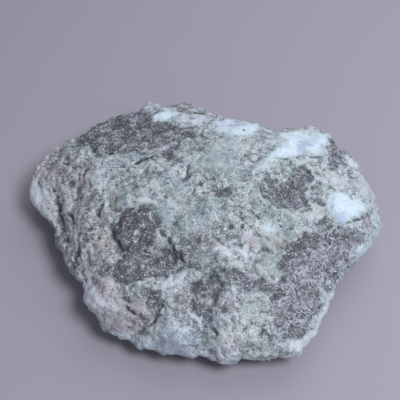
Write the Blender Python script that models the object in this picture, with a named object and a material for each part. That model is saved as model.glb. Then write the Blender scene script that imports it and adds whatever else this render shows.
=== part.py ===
"""Raw larimar: one hand-sized slab of grey basalt with a crust and veins of pale blue-green pectolite.

The stone is a single solid. Its frame has +Z up, +X to the right and +Y to the back, and its origin is
on the ground at the middle of its bounding box. It rests on a small flat spot in the middle of its belly.
Lengths are in millimetres until the finished mesh is scaled to metres.
"""

import math

import bmesh
import bpy
import numpy as np
from mathutils import Matrix, Vector, noise

MM = 0.001

# The rim is the stone's widest line, seen from above, clockwise from the left tip.
# Each station is x, y, its height over the ground, and the width of the shoulder that rolls up from it.
RIM = [
    (-62.3, 14.3, 13, 9),
    (-60.0, 20.1, 13.5, 9),
    (-55.8, 29.8, 13.5, 8),
    (-45.7, 38.7, 14, 9),
    (-39.0, 44.0, 14, 10),
    (-27.0, 47.5, 15, 11),
    (-23.0, 51.0, 16, 8),
    (-19.0, 53.9, 17, 7),
    (-16.0, 51.5, 17, 7),
    (-5.0, 50.0, 17, 9),
    (3.5, 45.0, 17, 9),
    (15.0, 39.5, 17, 9),
    (24.0, 38.5, 16, 9),
    (27.0, 35.5, 16, 8),
    (31.0, 38.5, 16, 8),
    (42.0, 39.5, 16, 8),
    (48.5, 35.5, 15, 8),
    (50.0, 30.5, 14, 8),
    (55.2, 23.8, 13, 7),
    (58.5, 15.5, 12, 7),
    (60.0, 4.5, 11, 7),
    (60.0, 1.0, 11, 6),
    (55.5, -7.5, 10, 5),
    (50.0, -14.0, 9, 4),
    (44.2, -20.4, 9, 4),
    (39.0, -32.5, 9, 4),
    (33.0, -42.0, 8, 4),
    (26.8, -47.8, 7, 7),
    (21.5, -47.5, 6, 10),
    (12.0, -48.0, 6, 12),
    (7.5, -50.5, 6, 13),
    (-0.5, -46.0, 6, 12),
    (-13.0, -47.0, 6, 13),
    (-24.2, -42.4, 6, 12),
    (-32.2, -36.6, 9, 11),
    (-39.0, -27.3, 10.5, 9),
    (-37.8, -23.0, 10.5, 9),
    (-44.3, -16.1, 11.5, 9),
    (-50.3, -2.3, 11.5, 10),
    (-53.9, 3.7, 12.2, 10),
]
RIM_STEPS = 6  # points between one station and the next

# The crown is the broad upper face: a shallow dome that old breaks have planed down to a few flats.
CROWN_TOP = 29.0
CROWN_FALL = 9.0  # how far the dome falls from its top to its reach
CROWN_MIDDLE = (4.0, 5.0)
CROWN_REACH = (62.0, 50.0)  # half axes of the dome
CROWN_FLATS = {  # name: a point x, y, z on the flat, then its slope along x and along y
    "left flank": (-47.0, 5.0, 19.5, 0.42, 0.05),
    "low left flank": (-42.0, -12.0, 16.5, 0.55, 0.22),
    "back left": (-30.0, 33.0, 21.0, 0.08, -0.32),
    "front left": (-12.0, -32.0, 20.0, 0.16, 0.30),
    "right front": (32.0, -28.0, 17.5, -0.20, 0.22),
    "back right": (40.0, 25.0, 22.0, -0.20, -0.18),
    "right end": (52.0, 0.0, 19.5, -0.38, 0.02),
}
FLAT_BLEND = 0.9  # how softly one flat runs into the next

# The belly is the underside: a bowl that is lowest in the middle, where the flat spot cuts it off.
BELLY_LOW = -1.2
BELLY_MIDDLE = (1.0, -1.0)
BELLY_REACH = (56.0, 44.0)  # half axes at which the bowl has risen by BELLY_RISE
BELLY_RISE = 6.5
BELLY_FLATS = {
    "heel": (34.0, 8.0, 2.0, 0.12, 0.05),
    "toe": (-34.0, -6.0, 2.0, -0.10, -0.04),
    "back slope": (-4.0, 32.0, 3.0, 0.0, 0.30),
}

SHOULDER_RINGS = (0.0, 0.12, 0.35, 0.65, 1.0)  # where the rings of a shoulder lie, as shares of its width
CORE_RINGS = (0.75, 0.5, 0.25)  # the rings inside the shoulder, as shares of the rim's distance
TUCK = 7.0  # width of the band by which the rim rolls under
VOXEL = 2.4  # edge of the even mesh that the relief is worked into

# Relief of the crown, in plan. A lump is x, y, half length, half width, turn in degrees, and rise.
LUMPS = {
    "basalt knob": (-22.0, -13.3, 6.8, 6.4, 0, 2.2),
    "knob's collar": (-20.0, -2.0, 9.0, 3.0, 0, 1.0),
    "lower lobe": (-13.0, -22.0, 8.0, 5.0, -30, -1.3),
    "lobe's toe": (-27.0, -26.0, 5.0, 4.0, 0, -1.0),
    "pale crest": (-9.0, -30.0, 8.0, 2.2, 25, 1.3),
    "pink crest": (8.0, -21.0, 8.0, 2.5, -5, 1.2),
    "green hollow": (1.0, -31.0, 7.0, 5.0, 60, -2.2),
    "front hollow": (-2.0, -40.0, 6.0, 3.5, 0, -1.0),
    "corner lump": (-32.0, -31.0, 6.5, 5.0, -50, 2.0),
    "front lump": (-8.0, -43.0, 9.0, 4.0, 0, 1.0),
    "front nose": (7.0, -45.0, 5.0, 5.0, 0, 0.8),
    "right dark hollow": (29.0, 4.0, 8.0, 6.5, 25, -1.5),
    "white boss": (46.0, -2.0, 7.0, 6.0, -10, 1.7),
    "back white boss": (34.0, 24.0, 9.0, 6.0, 0, 1.6),
    "back vein": (22.0, 14.0, 8.0, 2.5, 40, 0.9),
    "back edge lump": (-16.0, 43.0, 5.0, 4.0, 0, 1.6),
    "back ledge lump": (-5.0, 43.0, 5.0, 4.0, 0, 1.2),
    "back notch": (23.0, 34.0, 3.5, 5.0, 0, -1.8),
    "little pit": (6.0, 0.0, 3.0, 2.6, 0, -0.8),
    "crust swell": (-6.0, 10.0, 14.0, 8.0, 20, 0.9),
    "left swell": (-38.0, 8.0, 6.0, 12.0, -20, 0.7),
}
# A ledge is a line of points with the high side on its left, then its rise and how far the rise carries.
LEDGES = {
    "crust over the dark band": ([(-2, 22), (-12, 18), (-25, 20), (-40, 20), (-50, 23)], 1.8, 9.0),
    "edge over the lower lobe": ([(-14, -14), (-9, -19), (-5, -25)], 2.2, 6.0),
    "lip over the knob": ([(-29, -10), (-25, -6), (-19, -5), (-13, -9)], 1.4, 4.5),
    "right front edge": ([(22, -30), (22, -20), (30, -13), (44, -10)], 1.3, 8.0),
}
# A groove is a line of points, then its half width and depth.
GROOVES = {
    "left crack": ([(-51, 12), (-49, 1), (-45, -8)], 1.4, 1.8),
    "corner groove": ([(-41, -21), (-36, -24), (-32, -21)], 2.2, 2.4),
    "knob's left crack": ([(-29.5, -9), (-29, -15), (-26, -19.5), (-20, -20.5)], 1.4, 1.8),
    "front groove": ([(-27, -33), (-23, -38), (-18, -42)], 1.6, 1.2),
    "back groove": ([(-10, 39), (0, 38), (8, 35)], 1.8, 1.1),
}
# The right front side split along a white vein, so its rough break is slight: the line of the split, the
# reach of its smoothness and how much of the roughness it takes away.
SPLIT = ([(58, -6), (50, -14), (44.5, -20.5), (39, -32.5), (33, -42), (28, -47)], 4.5, 0.75)
# The rough break of the whole surface: size of the bumps, and how far they stand out.
BREAKS = ((24.0, 1.4), (9.5, 1.1), (4.6, 0.5))
ELSEWHERE = Vector((7, 3, 5))  # takes a second, unrelated sample of the same noise
WORN = (16.0, 34.0)  # the belly is worn smooth within the first radius and is fully rough at the second


def between(before, start, end, after, t):
    """Catmull-Rom value at t between start and end."""
    return 0.5 * (
        2 * start
        + (end - before) * t
        + (2 * before - 5 * start + 4 * end - after) * t**2
        + (3 * start - before - 3 * end + after) * t**3
    )


def rim_line():
    """The rim's stations joined by a smooth closed curve, as rows of x, y, height and shoulder."""
    stations = np.array(RIM, float)
    rows = []
    for i in range(len(stations)):
        around = [stations[(i + k) % len(stations)] for k in (-1, 0, 1, 2)]
        rows += [between(*around, step / RIM_STEPS) for step in range(RIM_STEPS)]
    return np.array(rows)


def planed(height, flats, x, y, side):
    """The height cut down (side 1) or up (side -1) to the flats, with rounded edges between them."""
    heights = [height]
    for at_x, at_y, z, rise_x, rise_y in flats.values():
        heights.append(z + rise_x * (x - at_x) + rise_y * (y - at_y))
    total = sum(math.exp(-side * h / FLAT_BLEND) for h in heights)
    return -side * FLAT_BLEND * math.log(total)


def crown_height(x, y):
    u = (x - CROWN_MIDDLE[0]) / CROWN_REACH[0]
    v = (y - CROWN_MIDDLE[1]) / CROWN_REACH[1]
    return planed(CROWN_TOP - CROWN_FALL * (u**2 + v**2), CROWN_FLATS, x, y, 1)


def belly_height(x, y):
    u = (x - BELLY_MIDDLE[0]) / BELLY_REACH[0]
    v = (y - BELLY_MIDDLE[1]) / BELLY_REACH[1]
    return planed(BELLY_LOW + BELLY_RISE * (u**2 + v**2), BELLY_FLATS, x, y, -1)


def ring_at(row, inset, width, height):
    """The point that lies inset from a rim row towards the middle, on a quarter round to height(x, y)."""
    keep = 1 - inset / math.hypot(row[0], row[1])
    x, y = row[0] * keep, row[1] * keep
    share = math.sqrt(max(0.0, 1 - (1 - inset / width) ** 2))
    return Vector((x, y, row[2] + (height(x, y) - row[2]) * share))


def loft():
    """A closed bmesh through rings: over the crown, round the rim and under the belly."""
    bm = bmesh.new()
    rows = rim_line()

    def ring(points):
        verts = [bm.verts.new(point) for point in points]
        return [bm.edges.new(pair) for pair in zip(verts, verts[1:] + verts[:1])]

    def core(share, height):
        return ring(Vector((x * share, y * share, height(x * share, y * share))) for x, y in rows[:, :2])

    rings = [core(share, crown_height) for share in reversed(CORE_RINGS)]
    for share in reversed(SHOULDER_RINGS):
        rings.append(ring(ring_at(row, share * row[3], row[3], crown_height) for row in rows))
    for share in SHOULDER_RINGS[1:]:
        rings.append(ring(ring_at(row, share * TUCK, TUCK, belly_height) for row in rows))
    rings += [core(share, belly_height) for share in CORE_RINGS]
    for upper, lower in zip(rings, rings[1:]):
        bmesh.ops.bridge_loops(bm, edges=upper + lower)
    bmesh.ops.contextual_create(bm, geom=rings[0])
    bmesh.ops.contextual_create(bm, geom=rings[-1])
    bmesh.ops.recalc_face_normals(bm, faces=bm.faces)
    return bm


def even_mesh(bm, name):
    """The bmesh's shape as an object whose faces are all about one voxel across."""
    mesh = bpy.data.meshes.new(name)
    bm.to_mesh(mesh)
    bm.free()
    stone = bpy.data.objects.new(name, mesh)
    bpy.context.scene.collection.objects.link(stone)
    remesh = stone.modifiers.new("even", "REMESH")
    remesh.mode = "VOXEL"
    remesh.voxel_size = VOXEL
    graph = bpy.context.evaluated_depsgraph_get()
    even = bpy.data.meshes.new_from_object(stone.evaluated_get(graph))
    stone.modifiers.clear()
    stone.data = even
    return stone


def drop_crumbs(bm):
    """Removes the specks that the remesh and the cut leave beside the stone, and keeps the stone."""
    left = set(bm.verts)
    bodies = []
    while left:
        body = {left.pop()}
        edge = list(body)
        while edge:
            near = {e.other_vert(v) for v in edge for e in v.link_edges} & left
            left -= near
            body |= near
            edge = list(near)
        bodies.append(body)
    bodies.sort(key=len)
    for crumb in bodies[:-1]:
        bmesh.ops.delete(bm, geom=list(crumb), context="VERTS")


def along(points, x, y):
    """Distance from a line of points, positive on its left, and the share of it that has been passed."""
    best = None
    for i, (start, end) in enumerate(zip(points, points[1:])):
        run_x, run_y = end[0] - start[0], end[1] - start[1]
        length = math.hypot(run_x, run_y)
        share = ((x - start[0]) * run_x + (y - start[1]) * run_y) / length**2
        near = min(max(share, 0.0), 1.0)
        gap = math.hypot(x - start[0] - near * run_x, y - start[1] - near * run_y)
        side = run_x * (y - start[1]) - run_y * (x - start[0])
        if best is None or gap < abs(best[0]):
            best = (math.copysign(gap, side), (i + near) / (len(points) - 1))
    return best


def lump_rise(x, y, at_x, at_y, length, width, turn, height):
    angle = math.radians(turn)
    u = ((x - at_x) * math.cos(angle) + (y - at_y) * math.sin(angle)) / length
    v = ((y - at_y) * math.cos(angle) - (x - at_x) * math.sin(angle)) / width
    return height * math.exp(-((u * u + v * v) ** 1.5))


def ledge_rise(x, y, points, height, reach):
    """Half the ledge's height above its line and half below, fading with distance and at both ends."""
    gap, share = along(points, x, y)
    ends = math.sqrt(math.sin(math.pi * min(max(share, 0.02), 0.98)))
    return math.copysign(height / 2, gap) * ends * math.exp(-((gap / reach) ** 2))


def groove_rise(x, y, points, width, depth):
    return -depth * math.exp(-((along(points, x, y)[0] / width) ** 2))


def crown_relief(x, y):
    """Height that the named lumps, ledges and grooves add to the crown."""
    rise = sum(lump_rise(x, y, *lump) for lump in LUMPS.values())
    rise += sum(ledge_rise(x, y, *ledge) for ledge in LEDGES.values())
    return rise + sum(groove_rise(x, y, *groove) for groove in GROOVES.values())


def rough_break(point):
    """How far the rough break stands out at a point: folded noise, which makes ridges and dull hollows."""
    return sum(
        height * (0.5 - 2 * abs(noise.noise(point / size)) + 0.6 * noise.noise(point / size + ELSEWHERE))
        for size, height in BREAKS
    )


def share_between(low, high, value):
    return min(max((value - low) / (high - low), 0.0), 1.0)


def relief_move(point, normal):
    """How far the named relief and the rough break move a point of the surface."""
    rise = share_between(0.1, 0.6, normal.z) * crown_relief(point.x, point.y)
    away = math.hypot(point.x - BELLY_MIDDLE[0], point.y - BELLY_MIDDLE[1])
    rough = 1.0 if normal.z > 0 else share_between(*WORN, away)
    split, reach, evened = SPLIT
    rough *= 1 - evened * math.exp(-((along(split, point.x, point.y)[0] / reach) ** 2))
    return Vector((0, 0, rise)) + normal * rough * rough_break(point)


def work_relief(bm):
    moves = [relief_move(vert.co, vert.normal) for vert in bm.verts]
    for vert, move in zip(bm.verts, moves):
        vert.co += move


def cut_flat_spot(bm):
    """Planes the belly off at the ground, which leaves the flat spot that the stone rests on."""
    whole = bm.verts[:] + bm.edges[:] + bm.faces[:]
    cut = bmesh.ops.bisect_plane(bm, geom=whole, plane_co=(0, 0, 0), plane_no=(0, 0, 1), clear_inner=True)
    edges = [piece for piece in cut["geom_cut"] if isinstance(piece, bmesh.types.BMEdge)]
    bmesh.ops.holes_fill(bm, edges=edges)
    bmesh.ops.triangulate(bm, faces=bm.faces)
    bmesh.ops.recalc_face_normals(bm, faces=bm.faces)


def stone_material():
    material = bpy.data.materials.new("larimar in basalt")
    material.use_nodes = True
    surface = material.node_tree.nodes["Principled BSDF"]
    surface.inputs["Base Color"].default_value = (0.33, 0.38, 0.38, 1)
    surface.inputs["Roughness"].default_value = 0.8
    surface.inputs["Metallic"].default_value = 0.0
    return material


def centre_and_scale(bm):
    """Puts the origin under the middle of the bounding box and turns millimetres into metres."""
    xs = [vert.co.x for vert in bm.verts]
    ys = [vert.co.y for vert in bm.verts]
    middle = Vector(((min(xs) + max(xs)) / 2, (min(ys) + max(ys)) / 2, 0))
    bmesh.ops.transform(bm, matrix=Matrix.Scale(MM, 4) @ Matrix.Translation(-middle), verts=bm.verts)


def main():
    for old in list(bpy.data.objects):
        bpy.data.objects.remove(old)
    stone = even_mesh(loft(), "larimar_stone")
    bm = bmesh.new()
    bm.from_mesh(stone.data)
    bm.normal_update()
    work_relief(bm)
    cut_flat_spot(bm)
    drop_crumbs(bm)
    centre_and_scale(bm)
    bm.to_mesh(stone.data)
    bm.free()
    stone.data.materials.append(stone_material())
    stone.data.shade_smooth()


main()
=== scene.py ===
import math

import bmesh
import bpy
import numpy as np
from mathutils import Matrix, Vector, noise


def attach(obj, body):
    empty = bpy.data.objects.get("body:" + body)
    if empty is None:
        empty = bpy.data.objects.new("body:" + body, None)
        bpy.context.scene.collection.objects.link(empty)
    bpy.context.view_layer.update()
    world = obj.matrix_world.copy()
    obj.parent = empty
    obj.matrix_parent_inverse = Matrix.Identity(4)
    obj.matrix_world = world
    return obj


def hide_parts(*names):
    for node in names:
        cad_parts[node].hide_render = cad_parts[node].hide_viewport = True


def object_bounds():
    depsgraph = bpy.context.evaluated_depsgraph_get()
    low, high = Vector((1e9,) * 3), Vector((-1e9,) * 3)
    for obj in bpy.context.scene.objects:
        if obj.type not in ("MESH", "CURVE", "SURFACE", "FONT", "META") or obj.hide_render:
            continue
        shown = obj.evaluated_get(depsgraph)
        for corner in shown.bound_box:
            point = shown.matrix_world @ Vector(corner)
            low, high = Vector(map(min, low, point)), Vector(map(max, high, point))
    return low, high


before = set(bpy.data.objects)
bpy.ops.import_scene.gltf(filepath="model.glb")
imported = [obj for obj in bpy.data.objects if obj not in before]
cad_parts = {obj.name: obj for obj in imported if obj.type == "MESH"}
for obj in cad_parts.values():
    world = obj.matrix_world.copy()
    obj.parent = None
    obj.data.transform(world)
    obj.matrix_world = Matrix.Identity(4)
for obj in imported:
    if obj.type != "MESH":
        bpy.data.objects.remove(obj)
cad_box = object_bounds()

# ---------------------------------------------------------------------------------------------------------
# The raw stone: one unpolished lump of larimar. Grey-violet basalt, rough as coarse sugar where it was
# broken, carries a crust of pale sage and blue-green pectolite, with chalk-white bosses and thin veins.
# The crust lies over the basalt, so its borders are small ragged ledges.

MM = 0.001
SKIN_LEVELS = 2  # each 2.4 mm face of the rough-out becomes 16, about 0.6 mm across

# Patches on the stone, seen from above. Each is a trail of points x, y and half width, in millimetres; a
# trail of one point is a round spot.
PATCHES = {
    # Bare basalt, where the crust broke away.
    "basalt": [
        [(-50.5, 26.3, 0.9), (-46, 26.5, 1.6), (-43, 28.5, 1.8), (-40.5, 28.8, 4.2), (-36, 30, 7.6),
         (-30, 31.5, 10.4)],
        [(-30, 31.5, 10.4), (-24, 31.5, 12), (-18, 28.5, 8.0), (-14.5, 25, 3.8), (-11.5, 23.6, 3.0)],
        [(-27, 41, 5), (-23, 43, 3.6)],
        [(-44, 32, 3), (-38, 37, 5), (-32, 41, 4)],
        [(-35, 22.6, 3), (-27, 21.8, 3), (-18, 21.8, 2.6)],
        [(22.4, 5.2, 2.0)],
        [(19.6, -1.4, 1.6), (24, -2.6, 2.0), (29, -2, 1.8), (33, -1, 1.6)],
        [(44.6, 18, 2.6)],
        [(-9, 29.5, 3.0), (-5, 27.5, 3.0)],
        [(-12.5, 18, 2.2), (-10.5, 14, 1.9), (-8.6, 10.4, 1.3)],
        [(-37, 23.6, 2.4)],
        [(-24.4, -9.2, 3.2)],
        [(-22.2, -14.0, 6.1), (-20.4, -13.4, 6.2)],
        [(-16.5, -15.5, 2.6), (-17, -19, 2.4)],
        [(-28, -24.5, 2.6), (-24.5, -24.6, 4.4), (-18.5, -23.8, 5.2), (-13, -23.8, 5.0), (-9.5, -23, 3.0)],
        [(-25, -33.3, 1.0), (-22.4, -33.8, 1.1)],
        [(-17, -34.4, 2.0), (-14.5, -36, 2.6), (-13, -38, 1.5)],
        [(-2.4, -31.8, 1.2), (0.6, -31.6, 1.5), (3.4, -30, 1.3)],
        [(-4.4, -26.6, 1.1), (-1.6, -26.4, 1.2)],
        [(3.4, -26.8, 1.1), (6.2, -28.6, 1.1)],
        [(5.2, -32.8, 1.1)],
        [(-1.6, -36.4, 3.4), (2.4, -37, 3.6), (5.4, -38, 2.2)],
        [(5.6, -34, 2.0)],
        [(1, -42, 1.3)],
        [(10, -28.6, 1.8), (14, -30, 1.5), (18, -31, 2.0), (23, -33, 4)],
        [(28, -22, 3.8), (28.6, -19.6, 3.8), (33, -18.6, 4.9), (40, -16, 5.6), (46, -13.6, 4.2),
         (50, -11.4, 3.0)],
        [(29, -25, 5.6), (35, -24, 6.5), (40, -22, 4)],
        [(26.5, -31, 4.6), (32, -30, 6)],
        [(27, -36.5, 6.2), (33, -35, 4)],
        [(25.6, -42.5, 3.2), (29.5, -42, 2.6)],
        [(19.5, -45, 1.3)],
        [(33.2, 10, 3.0), (32, 6, 3.8), (29.5, 2.6, 4.6), (26, -0.6, 3.8), (22.4, 0.8, 2)],
        [(43.8, 15, 1.8), (46, 19, 3.1), (46.8, 23, 2.6), (46.6, 28, 2.0), (47, 31, 1.4)],
        [(39.6, -8.8, 2.3), (41.6, -10, 1.6)],
        [(33, -3.6, 1.0)],
        [(36.6, -0.2, 0.8)],
        [(38.7, -1, 0.6)],
        [(55.2, -3.3, 1.2)],
        [(50, -9, 0.8)],
        [(5.2, -0.8, 1.6), (7.6, -0.9, 1.6)],
        [(18.6, 1.6, 1.3), (20, -1, 0.9)],
        [(19.5, -20.3, 1.3)],
        [(-40.5, -15.5, 2.0)],
    ],
    # Basalt with more pale grains in it.
    "ashy": [
        [(33, -20, 8), (40, -18, 6), (47, -14, 4)],
        [(30, -30, 8), (29, -40, 7)],
        [(20, -32, 5)],
        [(31, 4, 3)],
        [(-0.5, -36.5, 4.5), (4.5, -37, 4.5)],
        [(4, -29, 3)],
        [(-22, 30, 3)],
        [(-15, 31, 4)],
        [(-25, -24, 4.2), (-18, -23.6, 4.6), (-13, -25, 3.4)],
    ],
    # The darkest basalt, and crust that is stained by it.
    "coal": [
        [(-23, -11, 6), (-19, -11, 6), (-20, -15, 4)],
        [(-22, -18.6, 1.8)],
        [(-7.2, -22.5, 2.2), (-6, -25.5, 1.5)],
        [(-1.6, -31.6, 1.4), (1, -31.4, 1.4)],
        [(-41, 28, 2.4), (-38, 25, 2.4), (-32, 24, 1.6)],
        [(-38, 22.6, 1.6)],
        [(-16, 31, 3), (-11, 30, 2.4)],
        [(-7, 28, 2.8), (-4, 26.5, 2)],
        [(-24, 27, 2.4), (-30, 36, 3)],
        [(-36, 31, 3)],
        [(-38, -5.6, 2.6), (-36, -9, 3.2)],
        [(-22.5, -12.5, 4)],
        [(-42, -20, 3)],
        [(-6, -20.5, 3), (0.5, -19.5, 3)],
        [(6, -14, 2)],
        [(-6, -8, 1.6)],
        [(-6, -29, 2.2)],
        [(-20, -27, 2.4), (-16, -27, 2)],
        [(42, -20, 2.4)],
        [(33.5, 9, 1.8)],
        [(27, 0.6, 2.4), (31, 5, 3)],
        [(27, -18.5, 3), (34, -13.5, 2)],
        [(24.5, -23, 1.8)],
        [(19.5, -45, 1.2)],
        [(45, 15.4, 2.2)],
        [(-9.4, 12, 1.8)],
        [(-24, -26, 2.6)],
        [(-36, 38, 3)],
        [(-24, 22, 2)],
        [(0, -32, 2.6)],
        [(36, -32, 2)],
    ],
    # Grey-green, mossy crust.
    "moss": [
        [(-3, -27, 4.4), (2, -29, 5.4), (5, -31, 4.2)],
        [(1, -34, 3)],
        [(-12.5, -4.4, 1.4)],
        [(-7, -8, 2.8), (-6, -14, 2.8)],
        [(1.4, 28, 2), (1, 22, 2.6), (-2, 16, 2.4)],
        [(-6, 22, 2.4)],
        [(-41, -2, 2.4), (-37, -7, 2)],
        [(36, 36, 2)],
        [(30, 9.6, 1.6)],
        [(-6, -3, 2.6)],
        [(-42, -18, 2)],
        [(-6, -45, 1.6), (0, -45, 2)],
        [(-10, -2, 2.4)],
        [(18, 34.5, 3)],
        [(19, -7, 1.8), (25, -7.4, 1.8), (30, -9, 2.2)],
        [(-6, -26, 2)],
        [(-48, 26, 2), (-40, 26, 3)],
        [(-19, 14.5, 2.2), (-15, 14.5, 1.6)],
        [(22, 3, 3)],
        [(24, -16, 2.6), (27.4, -13.4, 2)],
        [(40, 4, 3.2)],
        [(39.4, -9, 2.4)],
        [(6, 8, 3)],
        [(12.6, 16, 2)],
        [(-42, 22, 2)],
        [(29.6, 11, 2)],
        [(14.6, -2, 1.6), (15, -5.5, 1.8)],
        [(19.5, -20, 2.0)],
        [(33, -4, 1.8)],
        [(-5, -27, 3), (0, -33, 3)],
        [(6, -26.5, 1.8)],
        [(-19, -27.5, 1.6)],
        [(-22, 1.8, 2.0)],
        [(-24, -1.4, 2.4)],
        [(-37, -8, 3.4)],
        [(-6, -20, 3.4), (0, -20, 4)],
        [(6, -14, 2.4)],
        [(24, -2, 2)],
        [(0, 40, 2.2)],
        [(7, -13.5, 2.4)],
    ],
    # Chalk-white pectolite, which stands proud in bosses.
    "white": [
        [(-16.6, 37.2, 1.8), (-13, 37.8, 2.6), (-10.6, 38.6, 1.5)],
        [(-20.4, 43, 0.8), (-21.4, 46, 0.8)],
        [(-5.5, 35.5, 1.2), (-3, 34, 1.6), (-1, 36.5, 1.2)],
        [(5.6, 33, 2.6), (9.2, 30.6, 5.0), (14.2, 29.8, 5.0), (17, 31.5, 2.8)],
        [(29.5, 25, 3), (31, 28, 3)],
        [(31, 21, 3.8), (33.6, 25, 5.6), (37, 22.5, 4.6), (39.5, 25.5, 3)],
        [(27.5, 20.5, 1.4)],
        [(41.5, 26, 2.6), (42.6, 30.5, 2.0)],
        [(29, 27, 3.4)],
        [(42.8, -2, 3.0)],
        [(15.6, 6.6, 0.3), (18.6, 8.8, 0.7), (21, 12.4, 1.3), (23.6, 16, 2.0)],
        [(23, 15.6, 1.6), (27, 17.6, 2.6), (31, 19, 3.0)],
        [(44.4, 1.2, 3.2), (46, -2.2, 5.6), (45, -6.2, 2.8)],
        [(50, -0.6, 3.6), (52.6, -0.8, 2.2)],
        [(18.8, -12.2, 0.9), (21.6, -12.8, 1.4)],
        [(60, -3, 1.4), (58.5, -7, 2.0), (56, -10.5, 1.6), (52.5, -13.6, 0.9), (49.4, -16.4, 0.6)],
        # On the left tip: real white, made brighter as painted light on the steep flank that the lamps
        # leave in shade.
        [(-61, 13.5, 2.0), (-59.6, 10.8, 3.2), (-57.4, 7.2, 2.7), (-55.4, 4.6, 1.4)],
    ],
    # Thin milky seams and edges.
    "milk": [
        [(-11.8, -31.8, 1.0), (-9.6, -30.7, 1.7), (-7.2, -29.2, 1.9), (-6, -28, 1.1)],
        [(4.2, -20.6, 1.3), (6.6, -21.2, 2.2), (8.2, -22.8, 1.3)],
        [(9.8, -20.3, 1.1), (12.4, -20.8, 1.3), (13, -22.6, 1.1)],
        # On the left tip: a milky edge, made brighter as painted light on the steep flank.
        [(-60, 15.5, 2.2), (-58.5, 11, 3.6), (-56.4, 7, 3.0), (-54.4, 3, 1.8)],
        [(51.6, 19.3, 2.2)],
        [(41, -28.6, 0.4), (39.2, -34, 0.9), (35.6, -41, 1.3), (31, -45.8, 1.5), (27, -48, 1.2)],
        [(-21, -15, 0.5)],
        [(-19.6, -13, 0.3)],
        [(-20.8, -17, 0.2)],
        [(22.5, -29.5, 0.8)],
        [(-18.6, 40.4, 1.2)],
        [(29.5, 26, 1.6)],
        [(-34, 13.5, 0.7)],
        [(0.8, -7.9, 0.6)],
        [(-24.6, -5.2, 0.4), (-21.5, -3.8, 0.8), (-18, -4.2, 0.8), (-15.4, -6, 0.5)],
        [(-9.4, -43.6, 0.5), (-5.5, -43.4, 0.4)],
        [(3.6, -47, 0.4), (6.4, -51, 0.8), (9.6, -50, 0.6)],
        [(9.6, -33, 0.5), (10.4, -36, 0.5), (9.8, -38, 0.4)],
        [(-4.5, -38.5, 0.4), (-1, -41, 0.5)],
        [(14.7, 12.3, 0.9)],
        [(-42.4, -10, 1.0)],
        # On the corner lump's steep left flank: milky crust, made paler as painted light there.
        [(-36.4, -26, 2.2), (-35.4, -31, 2.6), (-32, -34.6, 1.6)],
    ],
    # A pale lilac-grey film over crust or basalt.
    "haze": [
        [(-57.5, 20.5, 2.4), (-54, 26, 2.6), (-49, 31, 2.6), (-44.5, 34, 2)],
        [(-44, 37.5, 1.6), (-41, 39.5, 2)],
        [(-48, 21, 2.6), (-44, 16, 3.2), (-43, 9, 2.6), (-46, 4, 3)],
        [(-54, 7, 2)],
        # On the corner lump's steep left flank: a pale film, made paler as painted light there.
        [(-36.4, -26.5, 3.2), (-35, -32, 3)],
        [(1, -35.5, 1.5), (4, -38, 1.7)],
        [(23.5, -38.5, 2.2)],
        [(36, -26, 2.6)],
        [(-12.5, 29, 2.4)],
        [(-60, 14, 2.8), (-58.5, 10, 3.2), (-55, 5, 2.0), (-52, 1, 1.2)],
        [(-50.2, 0, 1.3), (-48, -4.5, 1.3)],
        # The same flank again: pale film, partly painted light.
        [(-36.4, -26, 2.4), (-35.6, -30, 2.6)],
        [(-31.6, -31, 4.8), (-28.6, -34.6, 3.8)],
        [(5.6, -50, 3)],
        [(-33, -22, 1.4)],
        [(-8.5, 36.5, 3.4), (-2, 36, 3.8), (2.5, 37, 2.4)],
        [(-18, 43.5, 3)],
        [(53, 17, 3.6), (56, 12, 3.2), (58, 6, 2.6)],
        [(48, 11.5, 2.6)],
        [(4.6, -46.4, 3), (7, -48.4, 3), (10, -47.5, 2.2)],
        [(-26, -14.4, 0.8), (-25.4, -16.8, 1.2)],
        [(-21.8, -14.4, 0.9)],
        [(-14.5, -20.5, 0.9)],
        [(-21, -37.5, 2.8)],
        [(-20.5, -24, 1.2)],
        [(13.5, -17, 2.8), (11.5, -14.5, 1.8)],
        [(26, 26, 2.4)],
        [(33, 34.5, 2.4), (38, 34, 2.4)],
        [(10.4, -2, 1.8), (10.6, -5.5, 1.8)],
        [(4, -36, 1.2), (7, -36.6, 1.2)],
    ],
    # Pale crust, rubbed or powdery.
    "pale": [
        [(-25.6, -6, 1.0), (-22.6, -4.4, 2.5), (-18.4, -4.2, 2.7), (-15, -6, 1.2)],
        [(24, 26, 2.6), (28.6, 28.8, 3)],
        [(42, 5, 2), (47, 5, 2.4)],
        [(-18, 2, 3)],
        [(-2.3, 10, 1.9)],
        [(6, 9.5, 2.2)],
        [(0, 4, 3)],
        [(22, 9, 2.8)],
        [(13, 3, 2)],
        [(17, 17, 2.2)],
        [(35, 14, 2.4)],
        [(-46, 17, 2.4)],
        [(-44, 13, 2.4)],
        [(-46, 19, 3), (-43, 12, 3.4), (-45, 5, 3.4), (-46.6, -1, 1.6)],
        [(-30, -8, 1.8)],
        [(-34, -2, 3.4)],
        [(-15, -43.6, 2.4)],
        [(38, 12, 3.2), (42.5, 13, 2.6)],
        [(18, -44, 1.8)],
        [(-33.4, -20.6, 0.5), (-29.8, -19.4, 0.6), (-26.8, -18.8, 0.4)],
        [(-41, -4.7, 0.5), (-36, 0.4, 0.8), (-30, 4.6, 0.6)],
        [(-37, -1, 0.7), (-30, 6, 0.7)],
        [(27, 13, 0.8), (33, 15.5, 0.9), (37, 16, 0.8)],
        [(6, -7.2, 0.5), (3.4, -9.8, 0.5)],
        [(31, -5, 2.4), (37, -4.5, 3.6)],
        [(26, -3.4, 2.2), (33, 0, 2.0), (41, -4.6, 2.4)],
        [(18, -11, 1.8), (23, -12.5, 2)],
        [(45, -9.6, 0.7), (51, -9.4, 0.9), (55, -7, 1.2)],
        [(42, 10, 2.8), (47, 8, 2.8)],
        [(34, 13, 3), (40, 17, 3)],
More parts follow.
